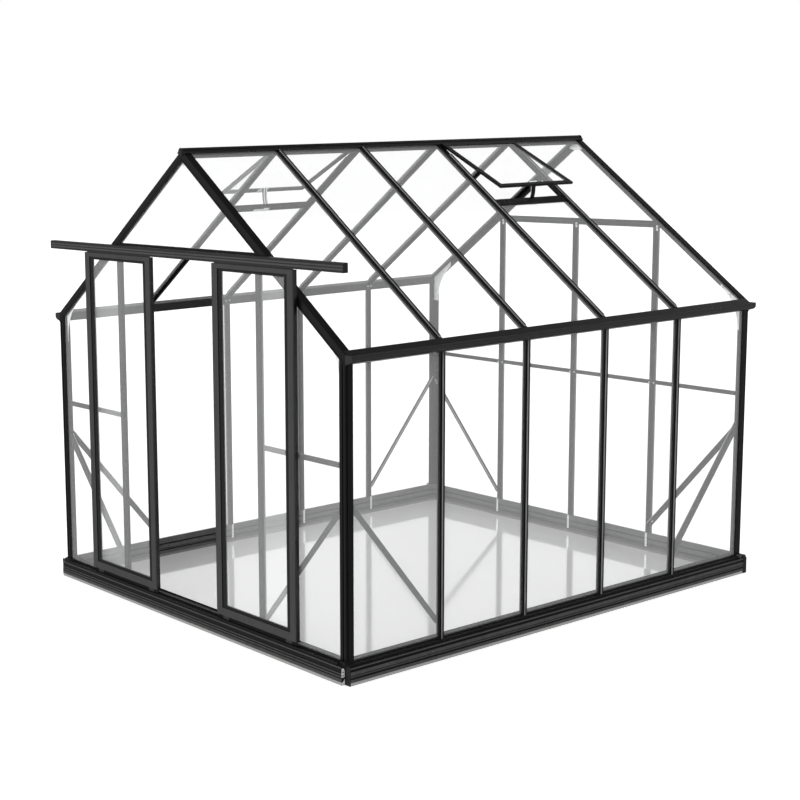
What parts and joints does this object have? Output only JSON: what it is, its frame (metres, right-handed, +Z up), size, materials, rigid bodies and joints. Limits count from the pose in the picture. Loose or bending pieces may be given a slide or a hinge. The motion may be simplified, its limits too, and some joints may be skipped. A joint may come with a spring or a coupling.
{
  "type": "greenhouse",
  "caption": "Free-standing black aluminium greenhouse with a pitched glass roof, double sliding doors in the front gable, opened roof vents and a ribbed base frame.",
  "frame": {"origin": "centre of the bounding box, on the ground under the base frame", "axes": "+X to the right as seen by someone facing the door gable, +Y from the door gable to the rear gable, along the ridge, +Z up"},
  "size_m": [2.632, 3.193, 2.598],
  "materials": {
    "frame_black": "satin",
    "base_black": "satin",
    "door_black": "satin",
    "cap_plastic": "satin",
    "mill_aluminium": "satin",
    "clear_glass": "gloss",
    "roof_clear_glass": "gloss"
  },
  "bodies": {
    "frame": {"corner_post_front_left": "frame_black", "corner_post_front_right": "frame_black", "corner_post_back_left": "frame_black", "corner_post_back_right": "frame_black", "side_bars_left": "frame_black", "side_bars_right": "frame_black", "eave_left": "frame_black", "eave_right": "frame_black", "ridge_beam": "frame_black", "rafter_front_left": "frame_black", "rafter_front_right": "frame_black", "rafter_back_left": "frame_black", "rafter_back_right": "frame_black", "roof_bars_left": "frame_black", "roof_bars_right": "frame_black", "door_posts": "frame_black", "back_gable_posts": "frame_black", "front_tie_beam": "frame_black", "back_tie_beam": "frame_black", "front_mid_rails": "frame_black", "back_mid_rails": "frame_black", "gable_braces": "frame_black", "side_braces": "frame_black", "door_rail": "frame_black", "vent_sills": "frame_black", "vent_frames": "frame_black", "vent_stays": "frame_black", "base_front": "base_black", "base_back": "base_black", "base_left": "base_black", "base_right": "base_black", "base_end_caps": "cap_plastic", "corner_gussets": "mill_aluminium", "apex_plates": "mill_aluminium", "frame_cleats": "mill_aluminium", "vent_stay_rods": "mill_aluminium", "glass_front": "clear_glass", "glass_back": "clear_glass", "glass_left": "clear_glass", "glass_right": "clear_glass", "roof_glass_left": "roof_clear_glass", "roof_glass_right": "roof_clear_glass", "vent_glass": "roof_clear_glass"},
    "door_left": {"door_left_frame": "door_black", "door_left_glass": "clear_glass"},
    "door_right": {"door_right_frame": "door_black", "door_right_glass": "clear_glass"}
  },
  "joints": [
    {"name": "door_left_slide", "type": "slide", "parent": "frame", "child": "door_left", "axis": [-1, 0, 0], "range_m": [-0.271, 0.35]},
    {"name": "door_right_slide", "type": "slide", "parent": "frame", "child": "door_right", "axis": [1, 0, 0], "range_m": [-0.271, 0.35]}
  ]
}
